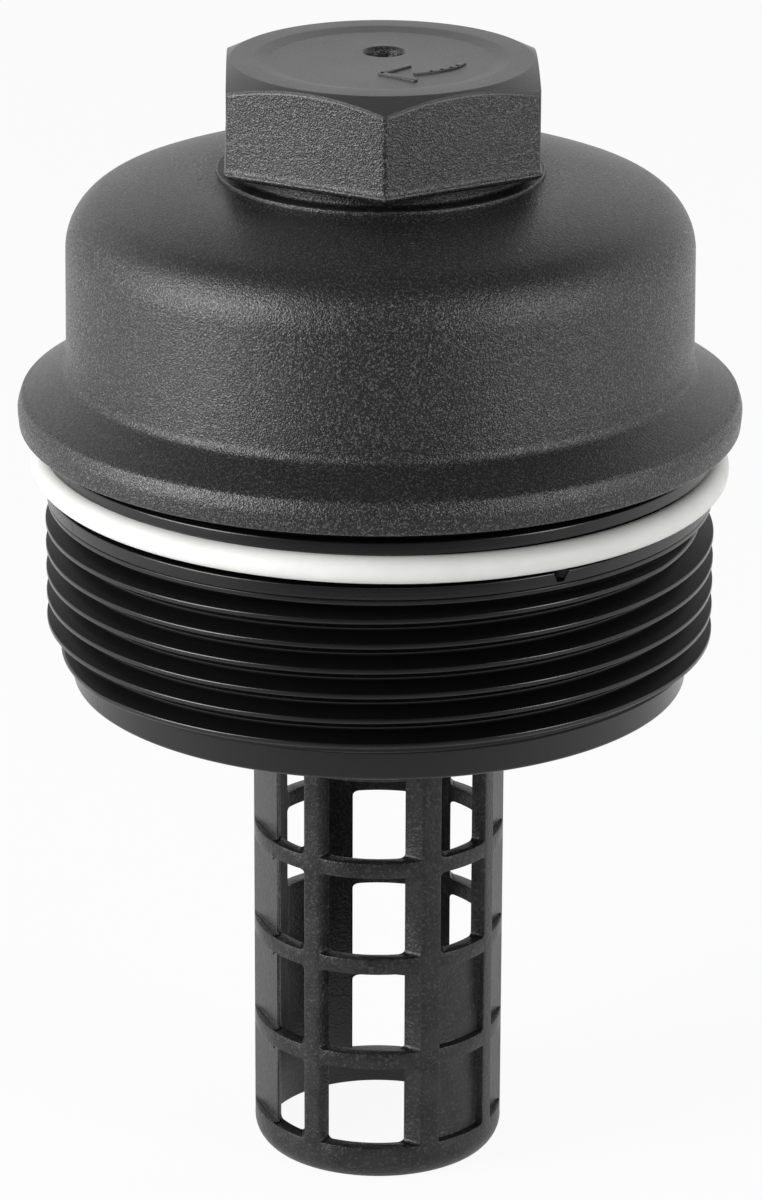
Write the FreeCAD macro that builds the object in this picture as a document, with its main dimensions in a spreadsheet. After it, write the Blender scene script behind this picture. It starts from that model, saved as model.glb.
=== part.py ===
import FreeCAD, Part

import math
import os

import Sketcher

from FreeCAD import Placement, Rotation, Vector

# Oil filter housing cap: a screw-in moulded cap with a hexagon, its seal ring and
# the slotted centre tube that carries the filter element and the bypass valve.
# Millimetres. The origin is the middle of the tube's open lower end, +Z runs up
# to the hexagon, and the photographed side faces -Y.

SIZES = {
    # whole cap
    "total_height": 136.2,
    # hexagon
    "hex_across_flats": 36.0,
    "hex_height": 11.2,
    "hex_turn_angle": 1.0,
    "hex_top_radius": 17.6,
    "hex_chamfer_angle": 26.0,
    "hex_flare_height": 0.9,
    "hex_flare_angle": 22.0,
    "dish_radius": 13.35,
    "dish_depth": 0.35,
    "gate_hole_radius": 2.45,
    "gate_hole_depth": 2.2,
    "neck_radius": 17.2,
    # dome
    "collar_radius": 19.1,
    "collar_drop": 13.0,
    "crown_radius": 34.8,
    "crown_end_angle": 25.1,
    "shoulder_radius": 7.03,
    "shoulder_drop": 22.56,
    "wall_radius": 36.82,
    "wall_draft_angle": 0.6,
    "cap_wall": 2.9,
    # flange
    "flange_root_drop": 36.1,
    "flange_root_fillet": 1.5,
    "flange_slope_angle": 30.0,
    "flange_edge_radius": 42.3,
    "flange_radius": 42.76,
    "flange_widest_drop": 41.6,
    "flange_bottom_drop": 43.9,
    "flange_lower_round": 0.5,
    # seal groove and its lands
    "relief_radius": 38.4,
    "upper_land_drop": 45.5,
    "upper_land_radius": 39.8,
    "groove_drop": 47.0,
    "groove_width": 4.0,
    "groove_floor_radius": 38.1,
    "lower_land_radius": 39.5,
    "lower_land_height": 1.85,
    "land_bevel": 0.25,
    # seal ring
    "ring_cord": 3.2,
    "ring_clearance": 0.03,
    "ring_drop": 48.7,
    # thread
    "thread_crest_radius": 39.7,
    "thread_root_radius": 37.9,
    "thread_pitch": 3.0,
    "thread_turns": 5.5,
    "thread_first_drop": 70.75,
    "thread_crest_flat": 0.4,
    "thread_flank_angle": 30.0,
    "thread_root_sink": 0.15,
    "thread_end_drop": 72.0,
    # skirt below the thread
    "skirt_radius": 36.65,
    "skirt_drop": 75.35,
    "skirt_bevel": 0.4,
    # socket inside the cap that holds the tube
    "socket_wall": 2.4,
    "socket_end_drop": 43.2,
    "socket_gap": 0.2,
    "stop_drop": 32.9,
    "stop_radius": 13.6,
    "stop_thickness": 3.0,
    "barb_groove_depth": 1.15,
    "hex_core_radius": 11.5,
    "hex_roof": 4.8,
    "rib_count": 8,
    "rib_thickness": 1.8,
    "rib_end_drop": 30.2,
    # centre tube
    "tube_radius": 15.1,
    "tube_wall": 1.8,
    "tube_foot_flat": 0.35,
    "tube_foot_round_height": 2.6,
    "outlet_radius": 13.5,
    "outlet_bevel": 0.15,
    "outlet_depth": 3.7,
    "foot_ring_height": 4.25,
    "window_pitch": 12.42,
    "window_height": 10.44,
    "window_rows": 5,
    "closed_rows": 2,
    "window_corner": 0.8,
    "panel_recess": 1.0,
    "side_recess": 0.9,
    # closed land on the tube that seals in the filter element's upper end cap
    "seal_land_radius": 15.55,
    "seal_land_drop": 50.2,
    "seal_land_length": 13.5,
    "seal_land_bevel": 0.3,
    # valve seat and the snap fingers at the tube's upper end
    "seat_drop": 51.7,
    "seat_thickness": 2.0,
    "seat_hole_radius": 7.5,
    "finger_count": 4,
    "finger_foot": 1.0,
    "finger_angle": 40.0,
    "barb_drop": 38.0,
    "barb_land": 1.7,
    "barb_lead": 1.3,
    "barb_depth": 0.95,
    # bypass valve
    "valve_gap": 0.1,
    "disc_radius": 9.6,
    "disc_thickness": 1.8,
    "pilot_radius": 6.6,
    "pilot_height": 2.4,
    "stem_radius": 2.0,
    "stem_fit": 0.06,
    "stem_recess": 0.2,
    "spring_space": 11.2,
    "spring_coil_radius": 5.6,
    "spring_wire_radius": 0.5,
    "spring_wire_sides": 8,
    "spring_turns": 4.0,
    "spring_seat_gap": 0.05,
    # spring retainer clipped into the tube
    "retainer_thickness": 4.4,
    "retainer_rim": 1.5,
    "retainer_rim_height": 1.2,
    "retainer_hub_radius": 8.0,
    "retainer_gap": 0.2,
    "retainer_arm": 3.2,
    "lug_width": 5.0,
    "lug_height": 2.2,
    "lug_reach": 1.5,
    "lug_gap": 0.25,
}

# Walls of the tube's windows as seen from above: degrees round the tube from the
# photographed side, first at the outer surface, then at the inner one.
WINDOW_SIDES = {
    "left": ((-57.0, -62.0), (-36.0, -41.8)),
    "middle": ((-28.0, -26.0), (20.6, 13.5)),
    "right": ((29.7, 34.2), (57.9, 56.7)),
}
RIGHT_RIB_EDGE = 66.2
SIDE_MIDDLE = 90.0
HALF_TURN = 180.0
FULL_TURN = 360.0
UP = Vector(0, 0, 1)

doc = FreeCAD.newDocument("filter_cap")
sheet = doc.addObject("Spreadsheet::Sheet", "sizes")


class Size:
    """A length, angle or count, with the expression that binds it to the sheet."""

    def __init__(self, value, text):
        self.value = value
        self.text = text

    def __add__(self, other):
        other = as_size(other)
        return Size(self.value + other.value, "(%s + %s)" % (self.text, other.text))

    def __sub__(self, other):
        other = as_size(other)
        return Size(self.value - other.value, "(%s - %s)" % (self.text, other.text))

    def __mul__(self, other):
        other = as_size(other)
        return Size(self.value * other.value, "(%s * %s)" % (self.text, other.text))

    def __truediv__(self, other):
        other = as_size(other)
        return Size(self.value / other.value, "(%s / %s)" % (self.text, other.text))

    def __neg__(self):
        return Size(-self.value, "(0 - %s)" % self.text)

    def sine(self):
        return Size(math.sin(math.radians(self.value)), "sin(%s)" % self.text)

    def cosine(self):
        return Size(math.cos(math.radians(self.value)), "cos(%s)" % self.text)

    def tangent(self):
        return Size(math.tan(math.radians(self.value)), "tan(%s)" % self.text)


def as_size(number):
    if isinstance(number, Size):
        return number
    return Size(float(number), repr(float(number)))


def fill_sheet():
    for row, (name, value) in enumerate(SIZES.items(), start=1):
        cell = "A%d" % row
        sheet.set(cell, str(value))
        sheet.setAlias(cell, name)
    doc.recompute()


fill_sheet()


def size(name):
    return Size(float(sheet.get(name)), "sizes.%s" % name)


def below_top(name):
    """Height of something measured down from the hexagon's top face."""
    return size("total_height") - size(name)


def seat_height():
    return below_top("seat_drop")


def finger_foot_height():
    return seat_height() + size("seat_thickness") + size("finger_foot")


def valve_underside():
    return seat_height() - size("valve_gap") - size("disc_thickness")


def retainer_top():
    return valve_underside() - size("spring_space")


def retainer_base():
    return retainer_top() - size("retainer_thickness")


def bind(item, prop, amount):
    amount = as_size(amount)
    item.setExpression(prop, amount.text)


def origin_feature(body, role):
    for feature in body.Origin.OriginFeatures:
        if feature.Role == role:
            return feature
    raise ValueError(role)


def new_body(name):
    body = doc.addObject("PartDesign::Body", name)
    body.Label = name
    return body


def new_sketch(body, name, role, offset=None):
    """A sketch on one of the body's origin planes, moved along its normal."""
    sketch = body.newObject("Sketcher::SketchObject", name)
    sketch.AttachmentSupport = [(origin_feature(body, role), "")]
    sketch.MapMode = "FlatFace"
    if offset is not None:
        bind(sketch, "AttachmentOffset.Base.z", offset)
    return sketch


def dimension(sketch, kind, geometry, point, amount):
    amount = as_size(amount)
    index = sketch.addConstraint(
        Sketcher.Constraint(kind, -1, 1, geometry, point, amount.value))
    sketch.setExpression("Constraints[%d]" % index, amount.text)


def arc_between(start, end, radius, turn):
    """The short arc from start to end with its middle on the named side."""
    chord = end - start
    half = chord.Length / 2
    height = math.sqrt(radius ** 2 - half ** 2)
    left = Vector(-chord.y, chord.x, 0).normalize()
    centre = (start + end) / 2 + left * (height if turn == "left" else -height)
    first, last = (start, end) if turn == "left" else (end, start)
    angles = [math.atan2(p.y - centre.y, p.x - centre.x) for p in (first, last)]
    return Part.ArcOfCircle(Part.Circle(centre, UP, radius), *angles)


def draw(sketch, points, arcs=None):
    """A closed outline. arcs maps a point's number to the radius and the turn of
    the edge that leaves it; every point and radius is bound to the sheet."""
    arcs = arcs or {}
    count = len(points)
    places = [Vector(as_size(x).value, as_size(y).value, 0) for x, y in points]
    edges = []
    for number in range(count):
        start = places[number]
        end = places[(number + 1) % count]
        if number in arcs:
            radius, turn = arcs[number]
            edge = sketch.addGeometry(arc_between(start, end, radius.value, turn))
            ends = (1, 2) if turn == "left" else (2, 1)
        else:
            edge = sketch.addGeometry(Part.LineSegment(start, end))
            ends = (1, 2)
        edges.append((edge, ends))
    for number, (edge, ends) in enumerate(edges):
        following, next_ends = edges[(number + 1) % count]
        sketch.addConstraint(
            Sketcher.Constraint("Coincident", edge, ends[1], following, next_ends[0]))
    for number, (edge, ends) in enumerate(edges):
        x, y = points[number]
        dimension(sketch, "DistanceX", edge, ends[0], x)
        dimension(sketch, "DistanceY", edge, ends[0], y)
        if number in arcs:
            radius = arcs[number][0]
            index = sketch.addConstraint(Sketcher.Constraint("Radius", edge, radius.value))
            sketch.setExpression("Constraints[%d]" % index, radius.text)


def feature(body, kind, name, sketch):
    item = body.newObject("PartDesign::" + kind, name)
    item.Profile = sketch
    item.Refine = False
    return item


def turn_profile(body, kind, name, sketch):
    """A revolution or groove all the way round the body's axis."""
    item = feature(body, kind, name, sketch)
    item.ReferenceAxis = (sketch, ["V_Axis"])
    item.Angle = 360
    return item


def polar(radius, degrees):
    """A point round the axis, counted from the photographed side towards +X."""
    radius = as_size(radius)
    degrees = as_size(degrees)
    return (radius * degrees.sine(), -(radius * degrees.cosine()))


def repeat_round(body, name, item, count):
    pattern = body.newObject("PartDesign::PolarPattern", name)
    pattern.Originals = [item]
    pattern.Axis = (origin_feature(body, "Z_Axis"), [""])
    pattern.Angle = 360
    bind(pattern, "Occurrences", count)
    body.Tip = pattern
    return pattern


def repeat_rows(body, name, item, rows):
    """Copies of a cut, one for each row up the tube, and all of it half a turn round."""
    upward = body.newObject("PartDesign::LinearPattern", name + "_upward")
    upward.Direction = (origin_feature(body, "Z_Axis"), [""])
    bind(upward, "Length", size("window_pitch") * (rows - 1))
    bind(upward, "Occurrences", rows)
    around = body.newObject("PartDesign::PolarPattern", name + "_around")
    around.Axis = (origin_feature(body, "Z_Axis"), [""])
    around.Angle = 360
    around.Occurrences = 2
    pattern = body.newObject("PartDesign::MultiTransform", name)
    pattern.Originals = [item]
    pattern.Transformations = [upward, around]
    pattern.Refine = False
    body.Tip = pattern
    return pattern


def cap_outline():
    """Right half of the cap's turned outside, from the axis outwards and down."""
    wall_bottom = below_top("flange_root_drop")
    wall_flare = (size("flange_root_drop") - size("shoulder_drop")) \
        * size("wall_draft_angle").tangent()
    wall_foot = size("wall_radius") + wall_flare
    root = size("flange_root_fillet")
    slope = size("flange_slope_angle")
    fillet_foot = (wall_foot + root * (as_size(1) - slope.sine()),
                   wall_bottom - root * slope.cosine())
    edge_height = fillet_foot[1] - (size("flange_edge_radius") - fillet_foot[0]) * slope.tangent()
    flange_bottom = below_top("flange_bottom_drop")
    lower_round = size("flange_lower_round")
    groove_top = below_top("groove_drop")
    groove_bottom = groove_top - size("groove_width")
    land_bottom = groove_bottom - size("lower_land_height")
    bevel = size("land_bevel")
    flank = size("lower_land_radius") - size("thread_root_radius")
    skirt_end = below_top("skirt_drop")
    shoulder_middle = size("wall_radius") - size("shoulder_radius")
    crown_end = size("crown_end_angle")
    points = [
        (0, skirt_end),
        (0, below_top("hex_height")),
        (size("neck_radius"), below_top("hex_height")),
        (size("neck_radius"), below_top("collar_drop") + bevel),
        (size("collar_radius"), below_top("collar_drop") + bevel),
        (size("collar_radius"), below_top("collar_drop")),
        (shoulder_middle + size("shoulder_radius") * crown_end.sine(),
         below_top("shoulder_drop") + size("shoulder_radius") * crown_end.cosine()),
        (size("wall_radius"), below_top("shoulder_drop")),
        (wall_foot, wall_bottom),
        fillet_foot,
        (size("flange_edge_radius"), edge_height),
        (size("flange_radius"), below_top("flange_widest_drop")),
        (size("flange_radius") - bevel, flange_bottom + lower_round),
        (size("flange_radius") - bevel - lower_round, flange_bottom),
        (size("relief_radius"), flange_bottom),
        (size("relief_radius"), below_top("upper_land_drop")),
        (size("upper_land_radius") - bevel, below_top("upper_land_drop")),
        (size("upper_land_radius"), below_top("upper_land_drop") - bevel),
        (size("upper_land_radius"), groove_top),
        (size("groove_floor_radius"), groove_top),
        (size("groove_floor_radius"), groove_bottom),
        (size("lower_land_radius"), groove_bottom),
        (size("lower_land_radius"), land_bottom),
        (size("thread_root_radius"), land_bottom - flank * size("thread_flank_angle").tangent()),
        (size("thread_root_radius"), below_top("thread_end_drop") + size("land_bevel") * 2),
        (size("skirt_radius"), below_top("thread_end_drop")),
        (size("skirt_radius"), skirt_end + size("skirt_bevel")),
        (size("skirt_radius") - size("skirt_bevel"), skirt_end),
    ]
    arcs = {
        5: (size("crown_radius"), "right"),
        6: (size("shoulder_radius"), "right"),
        8: (root, "left"),
    }
    return points, arcs


def cap_hollow():
    """Right half of the space inside the cap, with the tube's socket left standing."""
    below_skirt = below_top("skirt_drop") - 1
    inner_radius = size("wall_radius") - size("cap_wall")
    bend = size("shoulder_radius") - size("cap_wall")
    shoulder_middle = size("wall_radius") - size("shoulder_radius")
    crown_end = size("crown_end_angle")
    bore = size("tube_radius") + size("socket_gap")
    socket_outer = bore + size("socket_wall")
    groove = bore + size("barb_groove_depth")
    barb = below_top("barb_drop")
    groove_low = barb - size("socket_gap")
    groove_high = barb + size("barb_land") + size("barb_lead") + size("socket_gap")
    roof = below_top("dish_depth") - size("hex_roof")
    stop = below_top("stop_drop")
    stop_top = stop + size("stop_thickness")
    points = [
        (0, below_skirt),
        (inner_radius, below_skirt),
        (inner_radius, below_top("shoulder_drop")),
        (shoulder_middle + bend * crown_end.sine(),
         below_top("shoulder_drop") + bend * crown_end.cosine()),
        (socket_outer, below_top("collar_drop") - size("cap_wall")),
        (socket_outer, below_top("socket_end_drop")),
        (bore, below_top("socket_end_drop")),
        (bore, groove_low),
        (groove, groove_low),
        (groove, groove_high),
        (bore, groove_high),
        (bore, stop),
        (size("stop_radius"), stop),
        (size("stop_radius"), stop_top),
        (size("hex_core_radius"), stop_top + size("stop_radius") - size("hex_core_radius")),
        (size("hex_core_radius"), roof),
        (0, roof),
    ]
    arcs = {
        2: (bend, "left"),
        3: (size("crown_radius") - size("cap_wall"), "left"),
    }
    return points, arcs


def hexagon_points(across_flats):
    corner = across_flats / as_size(30).cosine() / 2
    return [polar(corner, size("hex_turn_angle") + 60.0 * number) for number in range(6)]


def add_hexagon(body):
    """Hexagon with a corner towards the photographed side and a flared foot."""
    flats = size("hex_across_flats")
    flare_top = size("total_height") - size("hex_height") + size("hex_flare_height")
    sketch = new_sketch(body, "hexagon_outline", "XY_Plane", flare_top)
    draw(sketch, hexagon_points(flats))
    hexagon = feature(body, "Pad", "hexagon", sketch)
    bind(hexagon, "Length", size("hex_height") - size("hex_flare_height"))

    sketch = new_sketch(body, "hexagon_foot_outline", "XY_Plane", flare_top)
    draw(sketch, hexagon_points(flats))
    foot = feature(body, "Pad", "hexagon_foot", sketch)
    foot.Reversed = True
    bind(foot, "Length", size("hex_flare_height"))
    bind(foot, "TaperAngle", size("hex_flare_angle"))

    top = size("total_height")
    reach = size("hex_across_flats") * 0.75
    slope = size("hex_chamfer_angle").tangent()
    sketch = new_sketch(body, "hexagon_chamfer_outline", "XZ_Plane")
    draw(sketch, [
        (size("hex_top_radius"), top),
        (reach, top - (reach - size("hex_top_radius")) * slope),
        (reach, top + 1),
        (size("hex_top_radius"), top + 1),
    ])
    turn_profile(body, "Groove", "hexagon_chamfer", sketch)

    dish = top - size("dish_depth")
    sketch = new_sketch(body, "dish_outline", "XZ_Plane")
    draw(sketch, [
        (0, dish - size("gate_hole_depth")),
        (size("gate_hole_radius") * 0.8, dish - size("gate_hole_depth")),
        (size("gate_hole_radius"), dish),
        (size("dish_radius") - size("dish_depth"), dish),
        (size("dish_radius"), top),
        (size("dish_radius"), top + 1),
        (0, top + 1),
    ])
    turn_profile(body, "Groove", "dish", sketch)


def add_ceiling_ribs(body):
    """Radial webs between the socket and the dome, up against the ceiling."""
    inner = size("tube_radius") + size("socket_gap") + size("socket_wall") / 2
    outer = size("wall_radius") - size("cap_wall") / 2
    half = size("rib_thickness") / 2
    low = below_top("rib_end_drop")
    sketch = new_sketch(body, "ceiling_rib_outline", "XZ_Plane")
    draw(sketch, [
        (inner, low),
        (outer, low),
        (outer, below_top("shoulder_drop")),
        (outer - size("shoulder_radius"), below_top("collar_drop") - size("shoulder_radius")),
        (inner, below_top("collar_drop") - size("cap_wall") / 2),
    ])
    rib = feature(body, "Pad", "ceiling_rib", sketch)
    rib.Midplane = True
    bind(rib, "Length", half * 2)
    repeat_round(body, "ceiling_ribs", rib, size("rib_count"))


def add_thread(body):
    """Right-hand trapezoid thread; its first crest starts at the -X side."""
    crest = size("thread_crest_radius")
    sunk = size("thread_root_radius") - size("thread_root_sink")
    slope = size("thread_flank_angle").tangent()
    crest_half = size("thread_crest_flat") / 2
    root_half = crest_half + (crest - sunk) * slope
    middle = below_top("thread_first_drop")
    sketch = new_sketch(body, "thread_profile", "XZ_Plane")
    draw(sketch, [
        (-sunk, middle - root_half),
        (-sunk, middle + root_half),
        (-crest, middle + crest_half),
        (-crest, middle - crest_half),
    ])
    thread = feature(body, "AdditiveHelix", "thread", sketch)
    thread.ReferenceAxis = (sketch, ["V_Axis"])
    thread.Mode = "pitch-turns-angle"
    bind(thread, "Pitch", size("thread_pitch"))
    bind(thread, "Turns", size("thread_turns"))


def make_housing_cap():
    body = new_body("housing_cap")
    sketch = new_sketch(body, "cap_outline", "XZ_Plane")
    draw(sketch, *cap_outline())
    turn_profile(body, "Revolution", "turned_outside", sketch)
    add_hexagon(body)
    sketch = new_sketch(body, "hollow_outline", "XZ_Plane")
    draw(sketch, *cap_hollow())
    turn_profile(body, "Groove", "hollow", sketch)
    doc.recompute()
    add_ceiling_ribs(body)
    add_thread(body)
    return body


def make_seal_ring():
    ring = doc.addObject("Part::Torus", "seal_ring")
    ring.Label = "seal_ring"
    cord_radius = size("ring_cord") / 2
    bind(ring, "Radius1", size("groove_floor_radius") + size("ring_clearance") + cord_radius)
    bind(ring, "Radius2", cord_radius)
    bind(ring, "Placement.Base.z", below_top("ring_drop"))
    return ring


def tube_outline():
    """Right half of the tube's section, from its foot to the snap fingers."""
    outer = size("tube_radius")
    inner = outer - size("tube_wall")
    outlet = size("outlet_radius")
    mouth = outlet + size("outlet_bevel")
    land = size("seal_land_radius")
    land_top = below_top("seal_land_drop")
    land_bottom = land_top - size("seal_land_length")
    bevel = size("seal_land_bevel")
    seat_top = seat_height() + size("seat_thickness")
    barb = outer + size("barb_depth")
    barb_bottom = below_top("barb_drop")
    barb_top = barb_bottom + size("barb_land")
    end = below_top("stop_drop") - size("socket_gap")
    round_height = size("tube_foot_round_height")
    points = [
        (mouth, 0),
        (mouth + size("tube_foot_flat"), 0),
        (outer, round_height),
        (outer, land_bottom),
        (land, land_bottom + bevel),
        (land, land_top - bevel),
        (outer, land_top),
        (outer, barb_bottom),
        (barb, barb_bottom),
        (barb, barb_top),
        (outer, barb_top + size("barb_lead")),
        (outer, end),
        (inner, end),
        (inner, seat_top),
        (size("seat_hole_radius"), seat_top),
        (size("seat_hole_radius"), seat_height()),
        (inner, seat_height()),
        (inner, size("outlet_depth") + outlet - inner),
        (outlet, size("outlet_depth")),
        (outlet, size("outlet_bevel")),
    ]
    arcs = {1: (round_height * 1.15, "left")}
    return points, arcs


def window_wall(side):
    """Where a window's side wall meets the bore, and a point beyond its outer end."""
    outer_angle, inner_angle = side
    inner = polar(size("tube_radius") - size("tube_wall"), inner_angle)
    outer = polar(size("tube_radius"), outer_angle)
    beyond = (outer[0] * 2 - inner[0], outer[1] * 2 - inner[1])
    return inner, beyond


def draw_window(sketch, left, right, row):
    """A window between two walls, with rounded corners, seen from the front."""
    corner = size("window_corner")
    low = size("foot_ring_height") + size("window_pitch") * row
    high = low + size("window_height")
    draw(sketch, [
        (left + corner, low), (right - corner, low),
        (right, low + corner), (right, high - corner),
        (right - corner, high), (left + corner, high),
        (left, high - corner), (left, low + corner),
    ], {number: (corner, "left") for number in (1, 3, 5, 7)})


def cut_windows(body, name, sketch, rows):
    window = feature(body, "Pocket", name + "_cut", sketch)
    window.Reversed = True
    bind(window, "Length", size("tube_radius") * 1.2)
    repeat_rows(body, name, window, rows)


def cut_row(body, name, sketch, rows):
    """A cut as tall as a window, from the foot ring upwards, and its copies."""
    cut = feature(body, "Pocket", name + "_cut", sketch)
    cut.Reversed = True
    bind(cut, "Length", size("window_height"))
    repeat_rows(body, name, cut, rows)


def add_windows(body):
    """Three columns a side; thin panels close the right one's lowest rows."""
    sketch = new_sketch(body, "window_outlines", "XZ_Plane")
    for name in ("left", "middle"):
        left, right = [window_wall(side)[0][0] for side in WINDOW_SIDES[name]]
        draw_window(sketch, left, right, as_size(0))
    cut_windows(body, "windows", sketch, size("window_rows"))

    sketch = new_sketch(body, "right_window_outline", "XZ_Plane")
    left, right = WINDOW_SIDES["right"]
    draw_window(sketch, polar(size("tube_radius"), left[0])[0], window_wall(right)[0][0],
                size("closed_rows"))
    cut_windows(body, "right_windows", sketch, size("window_rows") - size("closed_rows"))


def flare_points(sides):
    """Slanted side walls, which open a window towards the outside."""
    (left_in, left_out), (right_in, right_out) = [window_wall(side) for side in sides]
    middle = (sides[0][1] + sides[1][1]) / 2
    inside = polar((size("tube_radius") - size("tube_wall")) * 0.95, middle)
    return [left_in, inside, right_in, right_out, left_out]


def facet_points(near, far):
    """A flat that sets the closed side back from the rings between rows."""
    outer = size("tube_radius")
    beyond = outer * 1.15
    return [polar(outer, near), polar(outer - size("side_recess"), far),
            polar(beyond, far), polar(beyond, (near + far) / 2), polar(beyond, near)]


def add_flares_and_facets(body):
    sketch = new_sketch(body, "flare_outlines", "XY_Plane", size("foot_ring_height"))
    draw(sketch, flare_points(WINDOW_SIDES["left"]))
    draw(sketch, flare_points(WINDOW_SIDES["middle"]))
    draw(sketch, facet_points(SIDE_MIDDLE, RIGHT_RIB_EDGE))
    draw(sketch, facet_points(SIDE_MIDDLE - HALF_TURN, WINDOW_SIDES["left"][0][0]))
    cut_row(body, "flares", sketch, size("window_rows"))


def add_panel_recess(body):
    """Sets the thin panels back from the ribs beside them."""
    left, right = [side[0] for side in WINDOW_SIDES["right"]]
    face = size("tube_radius") - size("panel_recess")
    beyond = size("tube_radius") * 1.15
    sketch = new_sketch(body, "panel_outline", "XY_Plane", size("foot_ring_height"))
    draw(sketch, [polar(face, left), polar(beyond, left), polar(beyond, (left + right) / 2),
                  polar(beyond, right), polar(face, right)], {4: (face, "right")})
    cut_row(body, "panel_recess", sketch, size("closed_rows"))


def add_finger_slots(body):
    """Wide slots that free the snap fingers and let oil reach the valve."""
    sketch = new_sketch(body, "finger_slots", "XY_Plane", finger_foot_height())
    pitch = as_size(FULL_TURN) / size("finger_count")
    half_slot = (pitch - size("finger_angle")) / 2
    inner = (size("tube_radius") - size("tube_wall")) * 0.9
    beyond = (size("tube_radius") + size("barb_depth")) * 1.25
    for number in range(int(size("finger_count").value)):
        middle = pitch * (number + 0.5)
        draw(sketch, [polar(inner, middle - half_slot), polar(beyond, middle - half_slot),
                      polar(beyond, middle), polar(beyond, middle + half_slot),
                      polar(inner, middle + half_slot)])
    slots = feature(body, "Pocket", "finger_slot_cuts", sketch)
    slots.Reversed = True
    bind(slots, "Length", below_top("stop_drop") - finger_foot_height())
    return slots


def add_lug_windows(body):
    """Two small windows that the retainer's lugs click into."""
    sketch = new_sketch(body, "lug_windows", "YZ_Plane")
    half = size("lug_width") / 2 + size("lug_gap")
    low = retainer_base() + size("retainer_rim") - size("lug_gap")
    high = low + size("lug_height") + size("lug_gap") * 2
    draw(sketch, [(-half, low), (half, low), (half, high), (-half, high)])
    cut = feature(body, "Pocket", "lug_window_cuts", sketch)
    cut.Midplane = True
    bind(cut, "Length", size("tube_radius") * 3)
    return cut


def make_support_cage():
    body = new_body("support_cage")
    sketch = new_sketch(body, "tube_outline", "XZ_Plane")
    draw(sketch, *tube_outline())
    turn_profile(body, "Revolution", "turned_tube", sketch)
    doc.recompute()
    add_windows(body)
    add_flares_and_facets(body)
    add_panel_recess(body)
    add_finger_slots(body)
    add_lug_windows(body)
    return body


def make_valve_disc():
    """Disc that closes the seat from below, with its pilot and guide stem."""
    body = new_body("valve_disc")
    face = seat_height() - size("valve_gap")
    under = valve_underside()
    stem_end = retainer_base() + size("stem_recess")
    sketch = new_sketch(body, "valve_outline", "XZ_Plane")
    draw(sketch, [
        (0, stem_end),
        (size("stem_radius"), stem_end),
        (size("stem_radius"), under),
        (size("disc_radius"), under),
        (size("disc_radius"), face),
        (size("pilot_radius"), face),
        (size("pilot_radius") * 0.7, face + size("pilot_height")),
        (0, face + size("pilot_height")),
    ])
    turn_profile(body, "Revolution", "turned_valve", sketch)
    return body


def make_spring_retainer():
    """Spider that clips into the tube, guides the stem and carries the spring."""
    body = new_body("spring_retainer")
    base = retainer_base()
    top = retainer_top()
    bore = size("stem_radius") + size("stem_fit")
    ring_outer = size("tube_radius") - size("tube_wall") - size("retainer_gap")
    ring_inner = ring_outer - size("retainer_rim")
    hub = size("retainer_hub_radius")

    sketch = new_sketch(body, "hub_outline", "XZ_Plane")
    rim_top = top + size("retainer_rim_height")
    draw(sketch, [
        (bore, base), (hub, base), (hub, rim_top),
        (hub - size("retainer_rim") / 2, rim_top), (hub - size("retainer_rim") / 2, top),
        (bore, top),
    ])
    turn_profile(body, "Revolution", "turned_hub", sketch)

    half = size("retainer_arm") / 2
    inside = hub - size("retainer_rim") / 3
    outside = ring_outer - size("retainer_rim") / 3
    sketch = new_sketch(body, "arm_outline", "XY_Plane", base)
    draw(sketch, [(inside, -half), (outside, -half), (outside, half), (inside, half)])
    arm = feature(body, "Pad", "arm", sketch)
    bind(arm, "Length", size("retainer_thickness") * 0.8)
    repeat_round(body, "arms", arm, as_size(4))

    sketch = new_sketch(body, "ring_section", "XZ_Plane")
    draw(sketch, [(ring_inner, base), (ring_outer, base), (ring_outer, top), (ring_inner, top)])
    turn_profile(body, "Revolution", "outer_ring", sketch)

    lug_low = base + size("retainer_rim")
    sketch = new_sketch(body, "lug_outline", "XY_Plane", lug_low)
    reach = ring_outer + size("lug_reach")
    draw(sketch, [(ring_inner + size("retainer_rim") / 2, -(size("lug_width") / 2)),
                  (reach, -(size("lug_width") / 2)),
                  (reach, size("lug_width") / 2),
                  (ring_inner + size("retainer_rim") / 2, size("lug_width") / 2)])
    lug = feature(body, "Pad", "lug", sketch)
    bind(lug, "Length", size("lug_height"))
    repeat_round(body, "lugs", lug, as_size(2))
    return body


def make_valve_spring():
    """Compression spring between the retainer and the disc, its wire many-sided."""
    wire = size("spring_wire_radius").value
    gap = size("spring_seat_gap").value
    low = retainer_top().value + gap + wire
    high = valve_underside().value - gap - wire
    radius = size("spring_coil_radius").value
    pitch = (high - low) / size("spring_turns").value
    path = Part.makeHelix(pitch, high - low, radius)
    sides = int(size("spring_wire_sides").value)
    turns = [2 * math.pi * number / sides for number in range(sides + 1)]
    section = Part.makePolygon([
        Vector(radius + wire * math.cos(turn), 0, wire * math.sin(turn)) for turn in turns])
    coil = Part.Wire(path).makePipeShell([section], True, True)
    spring = doc.addObject("Part::Feature", "valve_spring")
    spring.Label = "valve_spring"
    spring.Shape = coil
    spring.Placement = Placement(Vector(0, 0, low), Rotation())
    return spring


def check(subparts):
    for item in doc.Objects:
        if "Invalid" in item.State or "Error" in item.State:
            raise RuntimeError("%s failed: %s" % (item.Name, item.State))
    for item in subparts:
        if item.Shape.isNull() or not item.Shape.isValid():
            raise RuntimeError("%s has no valid shape" % item.Label)


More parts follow.
